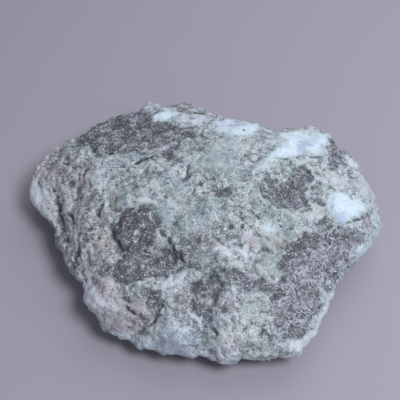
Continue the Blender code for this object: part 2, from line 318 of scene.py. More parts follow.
        [(-48, 8, 3), (-48, 2, 3)],
        [(-43, 15, 3), (-42, 6, 2.4)],
        [(24, 9, 2.6)],
        [(6, 19, 2.4)],
        [(-18, 41, 2.6), (-17, 21, 1.4)],
        [(18, 4, 2)],
        [(12, -2, 2)],
        [(24, 22, 2), (30, 16, 2)],
        [(48, 10, 2.4), (54, -2, 2)],
        [(-20, 22, 0.8), (-15, 22.5, 0.8)],
        [(36, -26.5, 1), (42, -25.5, 1.4)],
        [(-17, -39, 2.4)],
        [(-24.4, -32, 1.2)],
        [(12, -26, 2.4)],
        [(-19, 40.5, 2)],
        [(-30, -7, 2.2), (-30, -13, 1.6)],
        # On the steep front flank: pale crust, made paler as painted light there.
        [(16, -50, 3), (20, -49, 2)],
        [(13, -42.4, 1.6), (9, -44.5, 1.4)],
        # On the steep front flank: pale crust, made paler as painted light there.
        [(4.4, -45.6, 2.2), (6.4, -48.4, 2.4)],
        [(22.6, -28.6, 0.9)],
        [(13, 20, 3.6), (17, 23, 2.4)],
        [(19, 18.5, 1.8)],
        [(37, 31, 3), (41, 33, 2)],
        [(-42, 20, 1.8), (-35, 19, 1.4)],
        [(24.5, -30.5, 0.6), (27, -26.5, 0.6)],
        [(29, -29, 0.4), (34, -33, 0.4)],
        [(20, -40.5, 0.9), (26, -40, 0.9)],
        [(23.5, -37.4, 1.4)],
        [(6.4, -32.5, 0.9), (7, -38.6, 0.9)],
        [(-29, -33, 1.4)],
        [(36, 10, 2), (30, -13.6, 0.8), (36, -13.4, 0.8)],
        [(24, 4, 1.4), (12, -3, 1.6), (-30, 16, 1.2)],
        [(38, -27, 1.6)],
        [(24, -38, 1.6)],
        [(-42, 28, 0.8), (-12.5, 28.6, 0.8)],
        [(-7.7, 28.4, 0.4), (-6.6, 25.4, 0.5), (-3, 23.6, 0.6)],
        [(52, 2, 2.4), (53, 6, 2.4)],
        [(-46.5, 17, 2.8), (-42, 16, 2.6)],
        [(31, 28, 2.8)],
        [(32, 16.5, 2.6)],
        [(-48, 3, 2.2)],
    ],
    # Blue-green crust.
    "teal": [
        [(2, -6, 4), (-1, -8, 3)],
        [(-13, -7.5, 4), (-7, -10.5, 4), (-3, -12.5, 2.4)],
        [(6, 10, 4.6), (4, 7, 3), (6.5, 14, 3.6)],
        [(12, 17, 2.6)],
        [(26, 22, 3)],
        [(-27, 15, 4.4), (-21, 15.5, 3)],
        [(-31, 18, 2.6)],
        [(-54.5, 9, 2)],
        [(-31.8, -26, 2.0)],
        [(-30, -37.5, 2.4), (-26.5, -38.5, 2)],
        [(40, 3.5, 3)],
        [(-16, 4, 4.6), (-9, 3, 4)],
        [(8, -9.5, 2.4)],
        [(10, 22, 4), (15, 23, 3)],
        [(8, -14, 2.4)],
    ],
    # Pale green, waxy crust.
    "mint": [
        [(16.2, -36.0, 2.4), (14.6, -40, 4.2), (12, -43.6, 3.6), (19, -42, 2)],
        [(20.6, -22, 2.6), (20.8, -26, 2.6)],
        [(26, 22, 2.6)],
        [(-32.6, -34.4, 2.2), (-29, -37.6, 2.6)],
        [(16, -48.5, 2.6), (11, -48.5, 2)],
        [(9, -10, 3), (14.5, -12, 2)],
        [(-46, 20, 2.4)],
    ],
    # Pale blue crust.
    "blue": [
        [(-17, -46, 2.4), (-12, -45, 3.8), (-7, -45, 3.8), (-3, -45.6, 2.6)],
        [(44.4, -6.8, 1.6)],
        [(36.4, 23.4, 1.3), (33.4, 19.4, 1.7)],
        [(12.5, 31, 2.2)],
        [(-11, 4.5, 2.6)],
        [(-4.5, 9, 1.6)],
        [(-27, -41, 1.4)],
        [(11.3, 10, 1.6)],
    ],
    # Dull lilac-grey crust.
    "lilac": [
        [(-57, 15.5, 2.8), (-53.5, 18.5, 3)],
        [(-48, 13, 2.4)],
        [(-43, -4, 4.2), (-41, -9, 5.0), (-40, -14, 3.8)],
        [(-38, -20, 2.6)],
        [(-22.5, -37.5, 3), (-17, -40, 3.4)],
        [(-20.5, -25, 2.6)],
        [(5, -17.5, 2.6)],
        [(-6, -20, 2.8), (0, -20, 2.8)],
        [(-6.4, -33, 2.6), (-6.4, -38, 2.6)],
        [(22, 30, 3)],
        [(34, 34, 2.4)],
        [(12, 9, 1.6)],
        [(2, -36, 4.4), (7, -38, 3.4)],
        [(-12, 44, 4), (-4, 43, 3)],
        [(0, 35.5, 2.4), (6, 33, 2.6), (13, 31, 2.6)],
        [(54, -6, 2.6)],
        [(-10.5, 14, 2.6)],
        [(-37.5, 12.5, 2.2)],
        [(14, -28.6, 2.4)],
        [(43, 35, 2)],
        [(-43, 36, 2.4)],
    ],
    # Faint pink stain.
    "pink": [
        [(-57, 15.6, 3.4), (-52, 14.6, 3.6)],
        [(11.2, -21.6, 2.6)],
        [(14.5, -17.5, 2.6)],
        [(5.5, -50, 1.4)],
        [(0.5, -18, 1.8), (6, -18.6, 1.4)],
        [(-13, -25, 1.6)],
        [(-30.5, -31.5, 2.8)],
        [(-21.5, -37, 2.8)],
        [(40, 13, 2.2)],
        [(-20.8, -17.8, 1.0)],
    ],
    # Clay-coloured stain.
    "beige": [
        [(-46, 11, 2.8), (-40.5, 10, 3.2)],
        [(-33.5, -11, 4.8), (-31.5, -16, 4.2)],
        [(-36.5, -27.5, 2)],
        [(-48.6, -1.5, 1.6)],
        [(10.5, -25.5, 2.4)],
        [(23.5, -16.2, 2.6)],
        [(14.4, -3.8, 1.8)],
        [(19, -47.6, 1.2)],
        [(26, -43, 2.6)],
        [(-29, -1.5, 2.4)],
    ],
    # Brown iron stain.
    "brown": [
        [(2, -18.6, 1.1), (7.6, -18.4, 0.8)],
        [(10.8, -22.2, 0.9)],
        [(-55, 15.5, 1.3), (-50.5, 14, 1.3)],
        [(-48, 18, 1.1)],
        [(-40, -3, 1.8), (-37.5, -8, 3.4)],
        [(-11.5, 15, 2), (-9, 11, 1.4)],
        [(-23, -7.6, 0.4), (-20, -7.2, 0.6), (-17, -8.4, 0.5)],
        [(-21.6, -18.2, 1.4)],
        [(-23, -9.6, 2.4), (-18.6, -10, 2.4)],
        [(-6, -18, 1.0)],
        [(-2, -15.6, 0.7), (2, -16.4, 0.5)],
        [(-24.5, -33.4, 1.6), (-22.4, -34, 1.4)],
        [(-27, -40.8, 1.6)],
        [(31, -14.5, 2)],
        [(-13, 26, 2.4)],
    ],
    # Worn crust with little grain and low lumps.
    "smooth": [
        [(6, 10, 4.4), (6, 16, 4), (12, 22, 4)],
        [(14.5, -39, 2.6)],
        [(-20, -37, 4)],
        [(20.6, -25, 3.2)],
        [(1.5, -7, 3.6)],
        [(-20, -4.4, 3)],
        [(-32, -30, 4.4), (-28, -34.5, 4)],
        [(54, 12, 4), (57.5, 3, 3)],
        [(44, 9, 4)],
        [(24, 27, 3.4)],
        [(36, -5, 4), (28, -7, 3)],
        [(-12, -9, 4), (-8, 0, 4)],
        [(6, -47, 3)],
        [(-59, 11, 3)],
        [(26, 22, 3)],
        [(-26, 15.4, 3.6)],
        [(-16, -46, 4), (-8, -46, 5)],
        [(-36, -31, 4), (-31, -39, 4), (-24, -43, 4)],
        [(5, -50, 2)],
        [(40, 4, 2.4)],
        [(14, -16, 3)],
        [(-7.5, -29.5, 3), (-12, -32, 2)],
        [(7, -21.5, 3)],
    ],
    # A broad mauve tint down the left flank.
    "mauve": [
        [(-56, 20, 10), (-46, 0, 12), (-38, -14, 10), (-33, -30, 8), (-22, -38, 6)],
    ],
    # A broad sage tint over the crown.
    "sage": [
        [(0, 12, 9), (6, 0, 10), (16, 2, 9), (24, -6, 8)],
        [(30, 12, 8), (27, 22, 5)],
    ],
    # Cracks and pits, which are cut in as well as dark: their own dark colour, deepened as painted shade.
    # The line at the foot of the ledge by the knob's lower lobe is painted shadow.
    "dark": [
        [(-22.8, 12.3, 0.35), (-20.5, 13.4, 0.5), (-18.5, 14.8, 0.5), (-15, 14.5, 0.4)],
        [(-51.2, 12, 0.1), (-50.6, 8.5, 0.4), (-49.6, 4, 0.25), (-48, -0.5, 0.3), (-46, -5.5, 0.15)],
        [(-46.6, 1, 0.3), (-44, -2.6, 0.5), (-42.6, -6.4, 0.3)],
        [(-32, 11, 0.2), (-26, 11.3, 0.3)],
        [(-38, 22.6, 1.0)],
        [(-48.6, 19.2, 0.4), (-47, 16.4, 0.5)],
        [(-39, 12.3, 0.4), (-40.5, 10, 0.5)],
        [(-34.6, -4.5, 0.5), (-34.2, -5.6, 0.4)],
        [(-29.8, -9.2, 0.2), (-28.9, -11.4, 0.5), (-28, -15.4, 0.65), (-25.8, -18.8, 0.65),
         (-22.4, -20.6, 0.6)],
        [(-14.8, -11.4, 0.3), (-13, -14.6, 0.35), (-11, -17, 0.4)],
        [(-16, -16.4, 0.5), (-17.6, -18.4, 0.4)],
        [(-11, -17.4, 0.5), (-9.2, -20.4, 0.5)],
        [(-31.4, -16.4, 0.35)],
        [(-33.6, -13, 0.35)],
        [(-30.8, -12.6, 0.3)],
        [(-35.4, -15.6, 0.3)],
        # Painted shadow: the ledge beside the knob's lower lobe casts it onto the lobe.
        [(-9.8, -20.2, 0.5), (-7.6, -22.4, 0.7), (-6.2, -25.2, 0.7), (-7.4, -26.6, 0.4)],
        [(-12.6, -27.4, 0.5), (-11.4, -28.6, 0.6)],
        [(-0.5, -31.5, 0.4), (2.5, -30, 0.3)],
        [(-2.6, -35.6, 0.4), (-2, -37.6, 0.3)],
        [(5.5, -39.6, 0.6)],
        [(-16.6, -41.6, 0.3), (-13.4, -39.4, 0.5), (-12, -37.4, 0.3)],
        [(-24.5, -36, 0.3), (-20.5, -38.5, 0.4), (-17.5, -40.5, 0.3)],
        [(0.6, -42.4, 0.15), (4, -45.4, 0.3), (5.4, -47, 0.1)],
        [(12, -12.8, 0.6)],
        [(9, -13.2, 0.6)],
        [(15.4, -8.4, 0.5), (17.4, -9.4, 0.6)],
        [(13.4, 3.8, 0.6)],
        [(0.8, 6.6, 0.45)],
        [(22.3, 6.8, 0.4)],
        [(23.4, 18.6, 0.4)],
        [(14, 27.4, 0.6)],
        [(26, 13.6, 0.15), (30, 16, 0.3), (36, 16.8, 0.3), (40, 18, 0.2)],
        [(46, 10.4, 0.2), (49, 12, 0.25)],
        [(28.8, -10.8, 0.5)],
        [(24.6, -11.6, 0.4)],
        [(18, -16.4, 0.4)],
        [(31.6, -7.4, 0.4)],
        [(36.4, -7, 0.4)],
        [(44.6, -8.9, 0.25), (47.6, -7.8, 0.35), (51, -6.2, 0.35), (54.4, -3.4, 0.5)],
        [(-4.8, 9.6, 0.35), (-4.7, 5.4, 0.6), (-6.5, 3.4, 0.25)],
        [(-0.8, 1.8, 0.6)],
        [(-3, -0.6, 0.5)],
        [(-11.8, -3.2, 0.7)],
        [(2.6, 40, 0.8), (-1, 39.4, 0.6), (-6, 39.4, 0.4)],
        [(25, -28, 0.7)],
        [(23, -49, 0.6)],
    ],
}
# Ledges, in millimetres: how far basalt lies below the crust, how far the white bosses and the knob stand
# out, and how deep the cracks are. Each rises between two depths in its patch.
BASALT_SUNK = 0.4
WHITE_PROUD = 0.35
KNOB_PROUD = 0.9
CRACK_DEPTH = 0.6
BASALT_EDGE = (-0.5, 0.7)
WHITE_EDGE = (-1.5, 2.0)
KNOB_EDGE = (-0.4, 1.2)
CRACK_EDGE = (-0.5, 0.5)
# The basalt knob, which the crust flowed round before it set: middle and half width, seen from above.
KNOB = (-21.6, -13.2, 6.6)
# A small round eye in the crust: middle, radius and half the width of its dark ring.
EYE = (0.9, -7.9, 1.5, 0.2)
# Grain of the broken surface: size of the lumps and how far they stand out. The white bosses and the
# smooth crust lose a share of them.
LUMPY = ((6.0, 0.6), (3.0, 0.55), (1.6, 0.26))
CRUMB_SIZE = 2.0
CRUMB_HEIGHT = 0.22
CALM_SHARE = 0.7
# Flow lines in the crust: their height, how far apart they lie round the knob, how often they break off
# there and from where to where they die out. On the left rim: where along x it begins and is all rim, the
# direction across it, and the lines' grain across, along and up it.
FLOW_HEIGHT = 0.25
ARC_APART = 1.5
ARC_BREAKS = 2.6
ARCS_END = (32, 20)
LEFT_RIM = (-38, -44)
RIM_ACROSS = (0.92, 0.38)
RIM_GRAIN = (1.3, 7.0, 3.0)
# Borders are bent by a coarse and a fine noise, whose sizes and reach come first, and frayed by two more,
# each with its size, reach and place. Most patches take this share of the bend, and narrow ones take less.
COARSE_BEND = (7.0, 1.4)
FINE_BEND = (2.6, 1.8)
FRAY = ((3.4, 1.3, 0.0), (1.5, 1.4, 3.0))
BEND_SHARE = 0.8
NARROW_BEND_SHARE = {"dark": 0.35, "white": 0.5, "milk": 0.5}
# The underside is where the skin turns this far down. Four minerals lie there in chance patches: patch
# size, place in the noise, and how far it spreads. HIDDEN_DEPTH turns that noise into millimetres of depth.
UNDER = (-0.5, -0.8)
HIDDEN_DEPTH = 6
BELOW = {
    "basalt": (26.0, 11.0, 0.8),
    "white": (17.0, 23.0, -3.2),
    "teal": (15.0, 31.0, -0.5),
    "pale": (12.0, 41.0, -1.5),
}
# Depths in a patch: how far outside a spot starts, and the most that is passed on, in millimetres. TINY
# keeps a trail of one point from dividing by nothing.
FAR_OUTSIDE = -20.0
DEPTH_LIMIT = 4.0
TINY = 1e-9


def noise_at(points, size, offset=0.0):
    """Soft noise from about -1 to 1 at each point, with bumps of the given size, read at its own place."""
    shift = Vector((offset, offset * 1.7, offset * 0.6))
    return np.array([noise.noise(Vector(p) / size + shift) for p in points])


def depth_in(trails, x, y):
    """How many millimetres inside the nearest of some trails each point lies; negative outside."""
    best = np.full(len(x), FAR_OUTSIDE)
    for trail in trails:
        if len(trail) == 1:
            trail = trail * 2
        for (ax, ay, aw), (bx, by, bw) in zip(trail, trail[1:]):
            run = np.array((bx - ax, by - ay))
            run_squared = max(run @ run, TINY)
            share = np.clip(((x - ax) * run[0] + (y - ay) * run[1]) / run_squared, 0, 1)
            away = np.hypot(x - ax - share * run[0], y - ay - share * run[1])
            best = np.maximum(best, aw + share * (bw - aw) - away)
    return best


def ramp(low, high, value):
    """Eases from 0 to 1 as the value goes from low to high."""
    share = np.clip((value - low) / (high - low), 0, 1)
    return share * share * (3 - 2 * share)


# The skin: the rough-out's own mesh with its triangles joined in pairs, and made finer.
rough_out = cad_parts["larimar_stone"]
bm = bmesh.new()
bm.from_mesh(rough_out.data)
bmesh.ops.remove_doubles(bm, verts=bm.verts, dist=1e-6)
bmesh.ops.join_triangles(bm, faces=bm.faces, angle_face_threshold=0.9, angle_shape_threshold=0.9)
skin_mesh = bpy.data.meshes.new("raw_larimar")
bm.to_mesh(skin_mesh)
bm.free()
larimar = bpy.data.objects.new("raw_larimar", skin_mesh)
bpy.context.scene.collection.objects.link(larimar)
finer = larimar.modifiers.new("finer", "SUBSURF")
finer.levels = finer.render_levels = SKIN_LEVELS
graph = bpy.context.evaluated_depsgraph_get()
fine_mesh = bpy.data.meshes.new_from_object(larimar.evaluated_get(graph))
larimar.modifiers.clear()
larimar.data = fine_mesh
bpy.data.meshes.remove(skin_mesh)
fine_mesh.name = "raw_larimar"

count = len(fine_mesh.vertices)
spots = np.empty(count * 3)
fine_mesh.vertices.foreach_get("co", spots)
spots = spots.reshape(-1, 3) / MM
normals = np.empty(count * 3)
fine_mesh.vertex_normals.foreach_get("vector", normals)
normals = normals.reshape(-1, 3)
edges = np.empty(len(fine_mesh.edges) * 2, dtype=np.int32)
fine_mesh.edges.foreach_get("vertices", edges)
edges = edges.reshape(-1, 2)

# How deep each spot lies in each kind of patch, with ragged borders.
coarse = [noise_at(spots, COARSE_BEND[0], 3.0 + 4 * axis) for axis in range(2)]
fine = [noise_at(spots, FINE_BEND[0], 17.0 + 4 * axis) for axis in range(2)]
frayed = sum(out_by * noise_at(spots, size, offset) for size, out_by, offset in FRAY)
under = ramp(*UNDER, normals[:, 2])
depths = {}
for name, trails in PATCHES.items():
    bend = NARROW_BEND_SHARE.get(name, BEND_SHARE)
    bent = [spots[:, axis] + bend * (COARSE_BEND[1] * coarse[axis] + FINE_BEND[1] * fine[axis])
            for axis in range(2)]
    above = depth_in(trails, *bent) + frayed * bend
    hidden = np.full(count, -DEPTH_LIMIT)
    if name in BELOW:
        size, offset, spread = BELOW[name]
        hidden = HIDDEN_DEPTH * noise_at(spots, size, offset) + spread + frayed
    depths[name] = above * (1 - under) + hidden * under
depths["basalt"] = np.minimum(depths["basalt"], 0.5 - depths["white"])
knob_depth = depth_in([[KNOB]], spots[:, 0] + 0.6 * fine[0], spots[:, 1] + 0.6 * fine[1])

ring = EYE[3] - np.abs(np.hypot(spots[:, 0] - EYE[0], spots[:, 1] - EYE[1]) - EYE[2])
depths["dark"] = np.maximum(depths["dark"], ring)

# Flow lines run in arcs round the knob, and beyond it along the left rim.
out_x, out_y = spots[:, 0] - KNOB[0], spots[:, 1] - KNOB[1]
reach = np.hypot(out_x, out_y) + 0.9 * fine[0]
angle = np.arctan2(out_y, out_x)
arcs = np.stack((reach / ARC_APART, np.cos(angle) * ARC_BREAKS, np.sin(angle) * ARC_BREAKS), axis=1)
across = RIM_ACROSS[0] * spots[:, 0] + RIM_ACROSS[1] * spots[:, 1]
along = RIM_ACROSS[0] * spots[:, 1] - RIM_ACROSS[1] * spots[:, 0]
rim = np.stack((across, along, spots[:, 2]), axis=1) / RIM_GRAIN
by_rim = ramp(*LEFT_RIM, spots[:, 0])
near_knob = ramp(*ARCS_END, reach)
flow = by_rim * noise_at(rim, 1.0) + (1 - by_rim) * near_knob * noise_at(arcs, 1.0)

# Relief: the crust's ledges, the bosses, the cracks, and the lumps and crumbs of the break.
basalt = ramp(*BASALT_EDGE, depths["basalt"])
white = ramp(*WHITE_EDGE, np.maximum(depths["white"], depths["milk"] - 0.5))
crack = ramp(*CRACK_EDGE, depths["dark"])
lumps = np.zeros(count)
for step, (size, height) in enumerate(LUMPY):
    folded = np.abs(noise_at(spots, size, 5.0 + step)) * 2.2 - 0.5
    lumps += height * (folded + 0.5 * noise_at(spots, size * 0.8, 9.0 + step))
crumbs = np.array([0.45 - noise.voronoi(Vector(p) / CRUMB_SIZE)[0][0] for p in spots]) * CRUMB_HEIGHT * 2
calm = np.maximum(white, 0.8 * ramp(-1.0, 2.0, depths["smooth"]))
relief = (lumps * (1 - CALM_SHARE * calm) + crumbs * (1 - CALM_SHARE * calm)
          + FLOW_HEIGHT * flow * (1 - basalt)
          - BASALT_SUNK * basalt + WHITE_PROUD * white - CRACK_DEPTH * crack
          + KNOB_PROUD * ramp(*KNOB_EDGE, knob_depth) * (1 - under))
# The worn spot that the stone rests on stays flat, and nothing stands out past the rough-out's box.
RESTING_HEIGHT = (1.6, 0.3)
RESTING_FACING = (-0.5, -0.9)
resting = ramp(*RESTING_HEIGHT, spots[:, 2]) * ramp(*RESTING_FACING, normals[:, 2])
relief *= 1 - resting
spots = spots + normals * relief[:, None]
low, high = (np.array(corner) / MM for corner in cad_box)
spots = np.clip(spots, low, high)
fine_mesh.vertices.foreach_set("co", (spots * MM).ravel())

# How far each spot lies below its near and its wider surroundings. Both go into the colour as painted
# shade: darker in the hollows and in the dips.
HOLLOW_ROUNDS = 6
DIP_ROUNDS = 40
around = np.bincount(edges.ravel(), minlength=count)
for name, rounds in (("hollow", HOLLOW_ROUNDS), ("dip", DIP_ROUNDS)):
    evened = spots
    for _ in range(rounds):
        total = np.stack([np.bincount(edges[:, 0], evened[edges[:, 1], axis], count)
                          + np.bincount(edges[:, 1], evened[edges[:, 0], axis], count)
                          for axis in range(3)], axis=1)
        evened = total / around[:, None]
    depths[name] = ((evened - spots) * normals).sum(axis=1)
depths["flow"] = flow
# A thin band of crust just outside the basalt.
depths["border"] = 0.5 - np.abs(depths["basalt"] + 0.4)
for name, values in depths.items():
    layer = fine_mesh.attributes.new(name, "FLOAT", "POINT")
    layer.data.foreach_set("value", np.clip(values, -DEPTH_LIMIT, DEPTH_LIMIT))
fine_mesh.shade_smooth()
fine_mesh.update()


def linear(code):
    """An sRGB hex colour as linear red, green, blue, alpha."""
    parts = [int(code[i:i + 2], 16) / 255 for i in (1, 3, 5)]
    return [p / 12.92 if p <= 0.04045 else ((p + 0.055) / 1.055) ** 2.4 for p in parts] + [1.0]


def node(tree, kind, settings=None, inputs=None):
    """Adds a node with its settings; each input is a value, or the output of another node to link."""
    made = tree.nodes.new(kind)
    for name, value in (settings or {}).items():
        setattr(made, name, value)
    for socket, value in (inputs or {}).items():
        if isinstance(value, bpy.types.NodeSocket):
            tree.links.new(value, made.inputs[socket])
        else:
            made.inputs[socket].default_value = value
    return made


# Rough larimar in basalt: pectolite and basalt broken with a hammer and never polished. Dull and dry, so it
# has no shine, and the eye reads it by grains, dark creases and the change of mineral.
rock = bpy.data.materials.new("rough larimar in basalt")
rock.use_nodes = True
tree = rock.node_tree
surface = tree.nodes["Principled BSDF"]
place = node(tree, "ShaderNodeTexCoord").outputs["Object"]
in_mm = node(tree, "ShaderNodeVectorMath", {"operation": "SCALE"}, {
    0: place, "Scale": 1000.0}).outputs[0]
masks = {}
for name in depths:
    masks[name] = node(tree, "ShaderNodeAttribute", {"attribute_name": name}).outputs["Fac"]

# Noises: size of the bumps in mm, detail, roughness, distortion. Basalt crystals and pectolite needles are
# about a tenth of a millimetre, too fine to show, so sugar and speck draw them five to ten times coarser.
NOISES = {
    "sugar": (1.1, 2.0, 0.65, 1.0),
    "speck": (0.52, 2.0, 0.6, 0.6),
    "worms": (2.2, 2.0, 0.5, 1.2),
    "mottle": (3.4, 4.0, 0.62, 1.5),
    "drift": (11.0, 3.0, 0.5, 0.0),
    "fray": (1.3, 3.0, 0.7, 0.0),
    "cool": (4.2, 2.0, 0.55, 1.2),
    "warm": (3.6, 2.0, 0.55, 1.2),
    "folds": (6.0, 4.0, 0.55, 0.5),
    "loops": (2.0, 2.0, 0.5, 2.4),
}
# Each noise is read this much further along, so that no two noises agree.
NOISE_STEP = (3.7, 9.1)
for step, (name, (size, detail, roughness, distortion)) in enumerate(NOISES.items()):
    moved = node(tree, "ShaderNodeVectorMath", {"operation": "ADD"}, {
        0: in_mm, 1: (NOISE_STEP[0] * step, NOISE_STEP[1] * step, 0.0)})
    masks[name] = node(tree, "ShaderNodeTexNoise", {}, {
        "Vector": moved.outputs[0], "Scale": 1 / size, "Detail": detail, "Roughness": roughness,
        "Distortion": distortion}).outputs["Fac"]
# Grains and the creases between lumps are cells with wavy sides: their size in mm, and the output read.
GRAINS = {"crystal": (0.95, "Color"), "crumb": (1.9, "Color"), "crease": (2.6, "Distance")}
WAVE_SCALE = 0.6
WAVE_REACH = 1.6
wavy = node(tree, "ShaderNodeTexNoise", {}, {"Vector": in_mm, "Scale": WAVE_SCALE, "Detail": 2.0})
waved = node(tree, "ShaderNodeVectorMath", {"operation": "MULTIPLY_ADD"}, {
    0: wavy.outputs["Color"], 1: (WAVE_REACH, WAVE_REACH, WAVE_REACH), 2: in_mm}).outputs[0]
for name, (size, output) in GRAINS.items():
    feature = "DISTANCE_TO_EDGE" if name == "crease" else "F1"
    made = node(tree, "ShaderNodeTexVoronoi", {"feature": feature}, {"Vector": waved, "Scale": 1 / size})
    masks[name] = made.outputs[output]

# What ravels the borders of the patches: a fine noise with a share of the crystals in it.
CRYSTAL_SHARE = 0.3
masks["ravel"] = node(tree, "ShaderNodeMix", {}, {
    0: CRYSTAL_SHARE, 2: masks["fray"], 3: masks["crystal"]}).outputs[0]
# A thin line runs wherever a noise crosses its middle value.
LINES = {"filigree": "worms", "curl": "loops", "veinlets": "warm", "cracks": "folds"}
for line, name in LINES.items():
    off_middle = node(tree, "ShaderNodeMath", {"operation": "SUBTRACT"}, {
        0: masks[name], 1: 0.5}).outputs[0]
    masks[line] = node(tree, "ShaderNodeMath", {"operation": "ABSOLUTE"}, {0: off_middle}).outputs[0]

# Weights from 0 to 1: a mask, a noise added to it and how much of it, the values where the weight starts
# and ends, and its top.
WEIGHTS = {
    "mauve in": ("mauve", "ravel", 4, 1.0, 6.0, 0.36),
    "sage in": ("sage", "ravel", 4, 1.0, 6.0, 0.24),
    "mottled": ("mottle", "drift", 0.4, 0.56, 0.84, 1.0),
    "broad": ("drift", None, 0, 0.42, 0.62, 0.5),
    "green tinge": ("cool", None, 0, 0.56, 0.66, 0.5),
    "lilac tinge": ("cool", None, 0, 0.45, 0.36, 0.55),
    "cream tinge": ("warm", None, 0, 0.56, 0.68, 0.45),
    "teal in": ("teal", "ravel", 4, 1.2, 3.4, 0.75),
    "moss in": ("moss", "ravel", 4, 1.2, 3.4, 0.75),
    "mint in": ("mint", "ravel", 4, 1.2, 3.4, 0.8),
    "blue in": ("blue", "ravel", 4, 1.2, 3.2, 0.8),
    "lilac in": ("lilac", "ravel", 4, 1.0, 3.2, 0.75),
    "haze in": ("haze", "ravel", 4, 1.2, 3.2, 0.8),
    "milk in": ("milk", "ravel", 3, 0.9, 2.4, 0.9),
    "pink in": ("pink", "ravel", 4, 1.2, 3.2, 0.75),
    "beige in": ("beige", "ravel", 4, 1.2, 3.2, 0.75),
    "brown in": ("brown", "ravel", 4, 1.4, 3.0, 0.7),
    "pale in": ("pale", "ravel", 4, 1.4, 3.2, 0.8),
    "ashy in": ("ashy", "ravel", 4, 1.0, 4.0, 0.8),
    "coal in": ("coal", "ravel", 4, 1.4, 3.8, 0.76),
    "dull grain": ("crumb", None, 0, 0.48, 0.25, 0.22),
    "bright grain": ("crystal", None, 0, 0.6, 0.8, 0.12),
    "pits": ("sugar", "mottle", 0.5, 0.66, 0.55, 0.9),
    # Pale specks on the crust: partly pale grains, partly painted glints.
    "flecks": ("speck", "mottle", 0.5, 0.865, 0.91, 0.85),
    "dark flecks": ("speck", "mottle", 0.5, 0.665, 0.6, 0.9),
    "creases": ("crease", "mottle", 0.8, 0.42, 0.32, 0.7),
    "dark cracks": ("cracks", "fray", 0.12, 0.08, 0.064, 0.35),
    "pale veinlets": ("veinlets", "fray", 0.16, 0.11, 0.085, 0.75),
    "calm in": ("smooth", "fray", 2.0, 0.0, 3.0, 0.4),
    "calm drift": ("drift", "cool", 0.5, 0.76, 0.88, 0.4),
    "streaks": ("flow", "fray", 1.6, 0.95, 1.2, 0.6),
    "dull streaks": ("flow", "fray", 1.6, 0.64, 0.4, 0.6),
    "pale border": ("border", "fray", 1.5, 0.75, 1.25, 0.5),
    "basalt in": ("basalt", "ravel", 5, 1.9, 3.3, 1.0),
    "purple tinge": ("cool", None, 0, 0.55, 0.64, 0.45),
    "dust": ("mottle", "drift", 0.5, 0.74, 0.92, 0.65),
    "pale clouds": ("folds", "mottle", 0.6, 0.82, 0.92, 0.8),
    "dark clouds": ("folds", "mottle", 0.6, 0.775, 0.68, 0.8),
    "dark crystal": ("crystal", None, 0, 0.46, 0.3, 0.6),
    "pale crystal": ("crystal", "coal", -0.02, 0.62, 0.8, 0.24),
    "web": ("filigree", "ashy", -0.008, 0.05, 0.02, 0.26),
    "pale veins": ("cracks", "fray", 0.08, 0.053, 0.043, 0.8),
    "blotches": ("worms", "drift", 0.3, 0.62, 0.55, 0.75),
    "dark speck": ("speck", "mottle", 0.5, 0.715, 0.665, 0.95),
    # Bright points on the basalt: partly pale crystals, partly painted glints.
    "spark": ("speck", "mottle", 0.5, 0.82, 0.92, 0.85),
    "curls": ("curl", "speck", 0.35, 0.178, 0.167, 0.85),
    "hooks": ("loops", "speck", 0.3, 0.575, 0.545, 0.9),
    "white halo": ("white", "ravel", 3.0, -1.4, 2.0, 0.75),
    "white in": ("white", "ravel", 2.4, 0.8, 2.3, 1.0),
    "white heart": ("white", "ravel", 2.0, 1.8, 3.6, 1.0),
    "chalky": ("mottle", "sugar", 0.3, 0.5, 0.75, 0.6),
    # The cracks' own dark colour, deepened as painted shade.
    "dark in": ("dark", "ravel", 2, 0.8, 1.5, 0.9),
    # Painted shade: this and the next darken the hollows and the dips.
    "hollow shade": ("hollow", "fray", 0.15, 0.15, 0.42, 0.6),
    "shade": ("dip", None, 0, 0.1, 1.6, 0.35),
}
for name, (mask, extra, share, start, end, top) in WEIGHTS.items():
    value = masks[mask]
    if extra:
        value = node(tree, "ShaderNodeMath", {"operation": "MULTIPLY_ADD"}, {
            0: masks[extra], 1: share, 2: value}).outputs[0]
    masks[name] = node(tree, "ShaderNodeMapRange", {"interpolation_type": "SMOOTHSTEP"}, {
        "Value": value, "From Min": start, "From Max": end, "To Max": top}).outputs[0]

